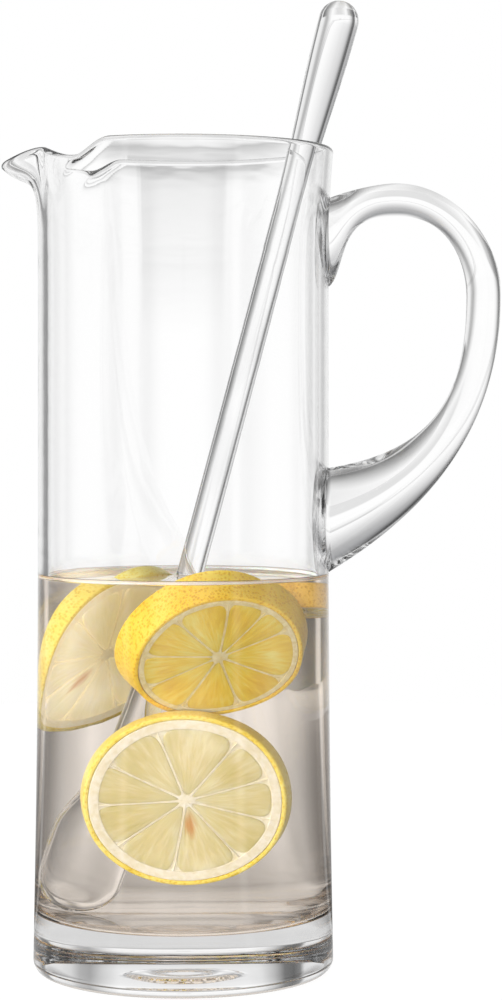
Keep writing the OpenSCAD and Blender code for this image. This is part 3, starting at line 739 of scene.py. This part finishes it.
def rounded_box(half_r, half_z, corner, steps=7):
    """Closed section of a rounded rectangle about the origin: four quarter arcs, and between them straight
    sides with a close row at each end, so that smooth shading stays on the corners."""
    near = corner * 0.3
    pieces = []
    for i, (cr, cz) in enumerate([(1, 1), (-1, 1), (-1, -1), (1, -1)]):
        centre = (cr * (half_r - corner), cz * (half_z - corner))
        pieces.append(arc(centre, corner, 90 * i, 90 * i + 90, steps))
        a, b = math.radians(90 * i + 90), math.radians(90 * i + 180)
        end = np.array([centre[0] + corner * math.cos(a), centre[1] + corner * math.sin(a)])
        way = np.array([math.cos(b), math.sin(b)])
        length = 2 * ((half_r, half_z)[i % 2] - corner)
        pieces.append(np.stack([end + way * near, end + way * (length - near)]))
    return np.concatenate(pieces)


def band(inner, outer, thick, place, corner, crown=0.0):
    """Ring with a rounded rectangular section. inner and outer are (front, back) radii in mm. Three slow
    waves make the fruit's outline uneven, and crown bulges the middle of the outer side."""
    a = circle(180)
    front, back = (inner[0] + outer[0]) / 2, (inner[1] + outer[1]) / 2
    outline = rounded_box((outer[0] - inner[0]) / 2, thick / 2, corner)
    z = outline[:, 1]
    share = 0.5 - z / thick
    bulge = crown * 4 * share * (1 - share) * (outline[:, 0] > 0)
    r = (front + (back - front) * share + outline[:, 0] + bulge)[:, None] + WOBBLE * (
        np.sin(2 * a + 0.7) + 0.6 * np.sin(3 * a + 2.1) + 0.4 * np.sin(5 * a + 4.0))[None, :]
    return shell(placed(about_axis(r, a, z[:, None]), place), loop=True)


# %% Slices: membranes and core


def cushion_rows(half_z, corner, size):
    """Rows over a flat cushion from the middle of its back to the middle of its front: share of the outline
    and height. The faces are nearly flat, and a quarter arc of the corner's radius joins them to the side."""
    flat = np.array([0.04, 0.2, 0.4, 0.6, 0.78, 0.9]) * (1 - corner / size)
    rise = half_z - DOME * (flat / flat[-1]) ** 2
    q = np.radians(np.linspace(90, 0, 7))
    bend = 1 - corner / size * (1 - np.cos(q))
    drop = half_z - DOME - corner * (1 - np.sin(q))
    share, height = np.concatenate([flat, bend]), np.concatenate([rise, drop])
    return np.concatenate([share, share[::-1]])[:, None], np.concatenate([-height, height[::-1]])[:, None]


def plate(r, half_z, place):
    """Membranes under the cut: a flat disc, which shows in the narrow grooves between the segments."""
    share, height = cushion_rows(half_z, PLATE_ROUND, r)
    return shell(placed(about_axis(r * share, circle(90)[None, :], height), place))


def wall_between(angle_deg, r_in, r_out, half_z, place, wave):
    """Thin wall between two segments: a flat tube along the radius, gently bent and thicker at its ends."""
    t = np.linspace(0, 1, 22)
    half = WEB_T / 2 * (0.8 + 1.2 * (2 * t - 1) ** 4 + 0.12 * np.sin(11 * t + angle_deg))
    flat = lambda v: np.sign(v) * np.abs(v) ** 0.6
    q = circle(20)
    across = half[:, None] * flat(np.cos(q))[None, :] + wave * np.sin(np.pi * t)[:, None]
    along = (r_in + (r_out - r_in) * t)[:, None]
    return shell(placed(beside_ray(angle_deg, along, across, half_z * flat(np.sin(q))[None, :]), place))


def core(half_z, walls, place):
    """The pith's core: a short column whose radius runs out into a ray towards each wall."""
    a = circle(144)
    away = np.abs((a[:, None] - np.radians(walls)[None, :] + np.pi) % (2 * np.pi) - np.pi)
    rays = np.exp(-(np.degrees(away.min(axis=1)) / 7) ** 2)
    share, height = cushion_rows(half_z, CORE_ROUND, CORE_R)
    r = share * (CORE_R * (0.98 + 0.6 * rays + 0.12 * np.sin(3 * a + 1)))[None, :]
    return shell(placed(about_axis(r, a, height), place))


# %% Slices: pulp and seed


def segment(start, stop, r_in, r_out, half_z, place):
    """One pulp segment: its outline, a rounded rectangle in angle and radius, over the rows of a cushion."""
    q = circle(80)[None, :]
    soft = lambda v: np.sign(v) * np.abs(v) ** 0.42
    share, height = cushion_rows(half_z, PULP_ROUND, 5.0)
    across, along = share * soft(np.cos(q)), share * soft(np.sin(q))
    r = (r_in + r_out) / 2 + (r_out - r_in) / 2 * along
    half_angle = math.radians(stop - start) / 2 - WEB_T * 0.5 / r
    a = math.radians((start + stop) / 2) + np.maximum(half_angle, 0.02) * across
    uv = np.stack([a * 14 + start, r + 0.3 * height], axis=-1)
    return shell(placed(about_axis(r, a, height), place), uv=np.concatenate([uv, uv[:, :1]], axis=1))


def seed(angle_deg, r_mm, place, length=8.0, wide=3.4):
    """Seed: a drop shape along the radius, pointed at the core, flattened to two thirds."""
    t = np.radians(np.linspace(-87, 87, 24))[:, None]
    q = circle(28)[None, :]
    r = wide / 2 * np.cos(t) * (1 + 0.25 * np.sin(t))
    along = r_mm + length / 2 * np.sin(t)
    return shell(placed(beside_ray(angle_deg, along, r * np.cos(q), r * np.sin(q) * 0.66), place))


# %% Slices: one whole slice


def lemon_slice(name, place, pulp, walls, front_r, back_r, thick, pith_t, off_centre=(0.0, 0.0),
                seed_at=None, peel=lemon_peel, pith=lemon_pith):
    """All pieces of one slice. walls lists the directions of the walls between segments, in degrees;
    off_centre is how far the pulp reaches further out on one side, as a share, and that side's direction."""
    peel_in, widening = front_r - PEEL_T, back_r - front_r
    pulp_r = peel_in - pith_t
    ring = band((peel_in, peel_in + widening), (front_r, back_r), thick, place, PEEL_ROUND, CROWN)
    piece(f"{name}_peel_waxy", [ring], "pitcher", [f"{name}_peel"], peel)
    pith_in, pith_out = pulp_r - RING_OVERLAP, peel_in - PEEL_GAP
    ring = band((pith_in, pith_in), (pith_out, pith_out + widening), thick - 2 * PITH_BELOW,
                place, PITH_ROUND)
    webs = [wall_between(a, CORE_R * 0.5, pulp_r + WALL_OVERLAP, thick / 2 - WALL_BELOW, place,
                         WALL_BEND * math.sin(i * 2.3)) for i, a in enumerate(walls)]
    piece(f"{name}_pith_sponge",
          [ring, core(thick / 2, walls, place), plate(pulp_r, thick / 2 - PLATE_BELOW, place), *webs],
          "pitcher", [f"{name}_pith"], pith)
    sacs = []
    for i, (start, stop) in enumerate(zip(walls, [*walls[1:], walls[0] + 360])):
        side = math.radians((start + stop) / 2 - off_centre[1])
        reach = pulp_r * (1 + off_centre[0] * math.cos(side) + 0.012 * math.sin(i * 2.7))
        sacs.append(segment(start, stop, CORE_R * 0.9, reach, thick / 2 - PULP_BELOW, place))
    piece(f"{name}_pulp_sacs", sacs, "pitcher", [f"{name}_pulp"], pulp)
    if seed_at:
        piece(f"{name}_seed_coat", [seed(*seed_at, place)],
              "pitcher", [f"{name}_seed"], lemon_seed)


# %% [markdown]
# The slices float where the photo shows them. Their places were found by following rays from the camera
# through glass and water. The far slice's pale colours and faint glow are painted light from behind it; the
# near upper one is ripe and soaked with juice.

# %% Slices: places and pulp
def seed_spot(place, angle_deg, r_mm):
    """Centre and turn of a seed at an angle and a distance from the core, for the pulp over it."""
    a = math.radians(angle_deg)
    along = np.array([[math.cos(a), -math.sin(a), 0], [math.sin(a), math.cos(a), 0], [0, 0, 1]])
    centre = placed(beside_ray(angle_deg, r_mm, 0.0, 0.0), place)
    return centre, Matrix((place[0] @ along).tolist()).to_euler()


upper_place = slice_place((8.5, -14.0, 104.0), 35, 18.5)
lower_place = slice_place((1.2, -11.6, 57.0), 9, -2.5)
back_place = slice_place((-18.8, 17.3, 100.4), 22, 50)
end_place = slice_place((27.95, 10.0, 116.6), 78, 0)
LOWER_SEED, BACK_SEED = (277, 7.6), (239, 10.1)
ripe_pulp = pulp_material("lemon_pulp_ripe", [(0.36, "#EEC442"), (0.52, "#FBDA52"), (0.7, "#FFEE8C")])
pale_pulp = pulp_material("lemon_pulp_pale", [(0.34, "#D4C98C"), (0.52, "#DED39E"), (0.7, "#ECE5BE")],
                          seed_spot(lower_place, *LOWER_SEED))
# Painted light: near-white pulp with a glow for the back slice, lit from behind through the water.
backlit_pulp_painted = pulp_material("lemon_pulp_painted_backlight", [(0.36, "#F2ECC8"), (0.52, "#F8F3DA"), (0.7, "#FDFAEC")],
                           seed_spot(back_place, *BACK_SEED), soak_mm=9.0, soak=0.7, glow=0.2)

# %% Slices: as in the photo
lemon_slice("upper_slice", upper_place, ripe_pulp, [28, 57, 90, 135, 178, 214, 251, 292, 332],
            front_r=23.4, back_r=25.5, thick=11.0, pith_t=1.2, off_centre=(0.02, 250), pith=soaked_pith)
lemon_slice("lower_slice", lower_place, pale_pulp, [17, 53, 109, 151, 185, 220, 261, 306, 343],
            front_r=27.0, back_r=27.0, thick=7.0, pith_t=2.5, off_centre=(0.03, 200),
            seed_at=LOWER_SEED, peel=pale_peel)
lemon_slice("back_slice", back_place, backlit_pulp_painted, [25, 66, 103, 145, 186, 223, 266, 305, 345],
            front_r=27.7, back_r=27.7, thick=6.0, pith_t=2.3, seed_at=BACK_SEED,
            peel=pale_peel, pith=backlit_pith_painted)
lemon_slice("end_slice", end_place, ripe_pulp, [0, 41, 80, 118, 160, 200, 242, 282, 320],
            front_r=12.5, back_r=12.5, thick=8.0, pith_t=1.7, peel=ripe_peel, pith=soaked_pith)

# %% [markdown]
# ## Studio
#
# Glass has no look of its own: it shows the room. The studio is white, with a grey flag on each side of every
# diagonal of the table. A thin straight wall hardly bends light, so from the photograph's side it shows the
# white along the axis. Its edges, the rod, the handle and the water bend light far enough to reach a flag,
# and draw themselves in grey. The pattern repeats every quarter turn and turns pale at the diagonals. From
# in between, the wall looks through at a flag and is greyer. The camera sees plain white behind the object.

# %% World: stops of the flags, from one diagonal (0) over an axis (0.5) to the next
WALL_STOPS = [(0.0, "#F4F4F4"), (0.03, "#F0F0F0"), (0.06, "#808080"), (0.1, "#5C5C5C"), (0.15, "#747474"),
              (0.2, "#CACACA"), (0.25, "#F4F4F4"), (0.3, "#FFFFFF"), (0.67, "#FFFFFF"), (0.73, "#DCDCDC"),
              (0.78, "#B0B0B0"), (0.83, "#BEBEBE"), (0.88, "#E8E8E8"), (0.95, "#F4F4F4"), (1.0, "#F4F4F4")]
WATER_STOPS = [(0.0, "#F0F0F0"), (0.022, "#E6E6E6"), (0.045, "#5A5A5A"), (0.1, "#565656"), (0.14, "#6A6A6A"),
               (0.17, "#808080"), (0.21, "#9C9C9C"), (0.25, "#C2C2C2"), (0.29, "#D0D0D0"), (0.32, "#F4F4F4"),
               (0.35, "#FFFFFF"), (0.4, "#F2F2F2"), (0.46, "#E2E2E2"), (0.55, "#E2E2E2"), (0.6, "#F2F2F2"),
               (0.66, "#FFFFFF"), (0.7, "#ECECEC"), (0.74, "#D4D4D4"), (0.78, "#B8B8B8"), (0.84, "#949494"),
               (0.9, "#707070"), (0.955, "#5A5A5A"), (0.978, "#E6E6E6"), (1.0, "#F0F0F0")]
HEIGHT_STOPS = [(0.0, "#FFFFFF"), (0.56, "#FFFFFF"), (0.68, "#B9B9BA"), (0.78, "#9C9D9F"), (0.9, "#FFFFFF"),
                (1.0, "#FFFFFF")]
RAIL_STOPS = [(0.0, "#FFFFFF"), (0.25, "#FFFFFF"), (0.33, "#F8F8F8"), (0.385, "#E6E6E6"), (0.425, "#CACACA"),
              (0.44, "#D0D0D0"), (0.455, "#FFFFFF"), (0.52, "#FFFFFF"), (0.57, "#EEEEEE"), (0.62, "#E0E0E0"),
              (0.66, "#C8C8C8"), (0.7, "#F0F0F0"), (0.75, "#FFFFFF"), (1.0, "#FFFFFF")]
PANEL_STOPS = [(0.14, "#FFFFFF"), (0.18, "#E4E4E4"), (0.83, "#E8E8E8"), (0.87, "#FFFFFF")]
PANEL_RISE_STOPS = [(0.3, "#000000"), (0.89, "#FFFFFF"), (0.905, "#000000"), (1.0, "#000000")]

# %% World: recipes
EIGHTH = math.pi / 4


def shade_between(tree, value, low, high, stops):
    """A colour ramp that runs while a value goes from low to high."""
    share = add(tree, "ShaderNodeMapRange", {"Value": value, "From Min": low, "From Max": high})
    return add(tree, "ShaderNodeValToRGB", {"Fac": share}, stops=stops)


def folded_bearing(tree, place):
    """Compass bearing of (x, y) from +Y towards +X, folded to the table's nearest axis: -45 to 45 deg."""
    apart = add(tree, "ShaderNodeSeparateXYZ", {"Vector": place}).node.outputs
    bearing = add(tree, "ShaderNodeMath", {0: apart["X"], 1: apart["Y"]}, operation="ARCTAN2")
    return add(tree, "ShaderNodeMath", {0: bearing, 1: EIGHTH, 2: -EIGHTH}, operation="WRAP")


# %% World: room
WATER_FLAGS_TO, WALL_FLAGS_FROM, RAIL_UP, PANEL_UP = -0.075, -0.055, (0.06, 0.11), (0.0, 0.1)
PANEL_BEARING = (math.radians(-4), math.radians(1))
CALM_MIRROR = 0.6

world = bpy.data.worlds.new("studio")
bpy.context.scene.world = world
world.use_nodes = True
sky = world.node_tree
sky.nodes.clear()
place = add(sky, "ShaderNodeTexCoord", out="Generated")
up = add(sky, "ShaderNodeSeparateXYZ", {"Vector": place}, out="Z")
bearing = folded_bearing(sky, place)
room = add(sky, "ShaderNodeMix", {
    0: add(sky, "ShaderNodeMapRange", {
        "Value": up, "From Min": WATER_FLAGS_TO, "From Max": WALL_FLAGS_FROM}),
    6: shade_between(sky, bearing, -EIGHTH, EIGHTH, WATER_STOPS),
    7: shade_between(sky, bearing, -EIGHTH, EIGHTH, WALL_STOPS)}, out=2, data_type="RGBA")
for layer, share in [
        (shade_between(sky, up, -1.0, 1.0, HEIGHT_STOPS), 1.0),
        (shade_between(sky, up, *RAIL_UP, RAIL_STOPS), 1.0),
        (shade_between(sky, bearing, *PANEL_BEARING, PANEL_STOPS),
         shade_between(sky, up, *PANEL_UP, PANEL_RISE_STOPS))]:
    room = add(sky, "ShaderNodeMix", {0: share, 6: room, 7: layer},
               out=2, data_type="RGBA", blend_type="MULTIPLY")

# %% World: what each ray sees
rays = add(sky, "ShaderNodeLightPath").node.outputs
# A mirror image on the outside of the glass shows the flags only faintly
mirrored = add(sky, "ShaderNodeMath", {
    0: rays["Is Glossy Ray"], 1: rays["Is Transmission Ray"]}, operation="SUBTRACT", use_clamp=True)
calm = add(sky, "ShaderNodeMath", {0: mirrored, 1: CALM_MIRROR}, operation="MULTIPLY")
plain = add(sky, "ShaderNodeMath", {0: rays["Is Camera Ray"], 1: calm}, operation="MAXIMUM")
seen = add(sky, "ShaderNodeMix", {0: plain, 6: room, 7: WHITE}, out=2, data_type="RGBA")
add(sky, "ShaderNodeOutputWorld", {
    "Surface": add(sky, "ShaderNodeBackground", {"Color": seen, "Strength": 1.0})})
print("studio:", len(sky.nodes), "nodes")

# %% [markdown]
# The floor is a pale round table top. To the camera it glows enough to match the white behind it, so its far
# edge doesn't show, and the rest of its shade comes from the lamps, which keeps a soft shadow round the foot.
# Seen through the glass it glows pale grey with painted rings of shade near the foot, and from near the foot
# outwards the flags are painted on it as a reflection, which carries their grey down the sides of the drink.

# %% Floor
FLOOR_R, FLOOR_LOW, FLOOR_GLOW, GLOW_STRENGTH = 0.8, 0.2 * MM, 0.87, 1.06
FLAGS_FROM, FLAGS_FULL = 45 * MM, 120 * MM
FLOOR_PAINTED_SHADE_STOPS = [(0.0, "#F0F0F0"), (0.02, "#ECECEC"), (0.035, "#F4F4F4"), (0.06, "#F4F4F4"),
               (0.068, "#D8D8D8"), (0.09, "#D8D8D8"), (0.11, "#DEDEDE"), (0.135, "#D6D6D6"),
               (0.175, "#B6B6B6"), (0.22, "#C6C6C6"), (0.35, "#E6E6E6"), (1.0, "#FFFFFF")]

floor_mesh = bpy.data.meshes.new("floor")
rim_points = about_axis(FLOOR_R, circle(96), -FLOOR_LOW)
floor_mesh.from_pydata(rim_points.tolist(), [], [list(range(len(rim_points)))])
floor = bpy.data.objects.new("floor", floor_mesh)
bpy.context.scene.collection.objects.link(floor)
print("floor:", FLOOR_R, "m in radius")

# %% Floor: finish
floor_material, tree = new_material("table_top")
place = add(tree, "ShaderNodeTexCoord", out="Object")
distance = add(tree, "ShaderNodeVectorMath", {0: place}, out="Value", operation="LENGTH")
# Seen through glass: painted grey rings of shade by distance, times a painted reflection of the flags by
# bearing.
through = add(tree, "ShaderNodeMix", {
    0: add(tree, "ShaderNodeMapRange", {"Value": distance, "From Min": FLAGS_FROM, "From Max": FLAGS_FULL}),
    6: shade_between(tree, distance, 0, FLOOR_R, FLOOR_PAINTED_SHADE_STOPS),
    7: shade_between(tree, folded_bearing(tree, place), -EIGHTH, EIGHTH, WATER_STOPS)},
    out=2, data_type="RGBA", blend_type="MULTIPLY")
rays = add(tree, "ShaderNodeLightPath").node.outputs
tint = add(tree, "ShaderNodeMix", {0: rays["Is Camera Ray"], 6: through, 7: WHITE}, out=2, data_type="RGBA")
seen = rays["Is Camera Ray"]
for kind in ("Is Glossy Ray", "Is Transmission Ray"):
    seen = add(tree, "ShaderNodeMath", {0: seen, 1: rays[kind]}, operation="MAXIMUM")
add(tree, "ShaderNodeOutputMaterial", {"Surface": add(tree, "ShaderNodeMixShader", {
    0: add(tree, "ShaderNodeMath", {0: seen, 1: FLOOR_GLOW}, operation="MULTIPLY"),
    1: add(tree, "ShaderNodeBsdfDiffuse", {"Color": colour("#F7F6F5")}),
    2: add(tree, "ShaderNodeEmission", {"Color": tint, "Strength": GLOW_STRENGTH})})})
floor_mesh.materials.append(floor_material)

# %% [markdown]
# Three softboxes light the lemon: the key low on the left in front, a back lamp behind on the left that
# shines through the thin slices, and a low wide fill in front. The glass shows the room and not the lamps.

# %% Lamps


def softbox(name, place_mm, aim_mm, size_mm, watts):
    """A rectangular lamp that faces a point."""
    data = bpy.data.lights.new(name, "AREA")
    data.shape, data.size, data.size_y, data.energy = "RECTANGLE", size_mm[0] * MM, size_mm[1] * MM, watts
    made = bpy.data.objects.new(name, data)
    bpy.context.scene.collection.objects.link(made)
    made.location = [v * MM for v in place_mm]
    way = Vector([v * MM for v in aim_mm]) - made.location
    made.rotation_euler = way.to_track_quat("-Z", "Y").to_euler()
    made.visible_camera = made.visible_glossy = made.visible_transmission = False
    print(name, "lamp:", watts, "W")


softbox("key", (-820, -350, 320), (0, 0, 110), (420, 520), 11.0)
softbox("back", (-480, 600, 170), (0, 0, 100), (420, 300), 2.8)
softbox("fill", (150, -840, 60), (0, 0, 90), (420, 110), 5.2)

# %% [markdown]
# Light crosses many surfaces of glass and water on its way through the pitcher, and some of it goes back and
# forth between them, so it gets more bounces than Blender gives by default.

# %% Bounces
cycles = bpy.context.scene.cycles
cycles.max_bounces, cycles.transmission_bounces, cycles.glossy_bounces = 28, 28, 12
cycles.transparent_max_bounces, cycles.diffuse_bounces = 16, 4
cycles.caustics_refractive, cycles.caustics_reflective = True, False
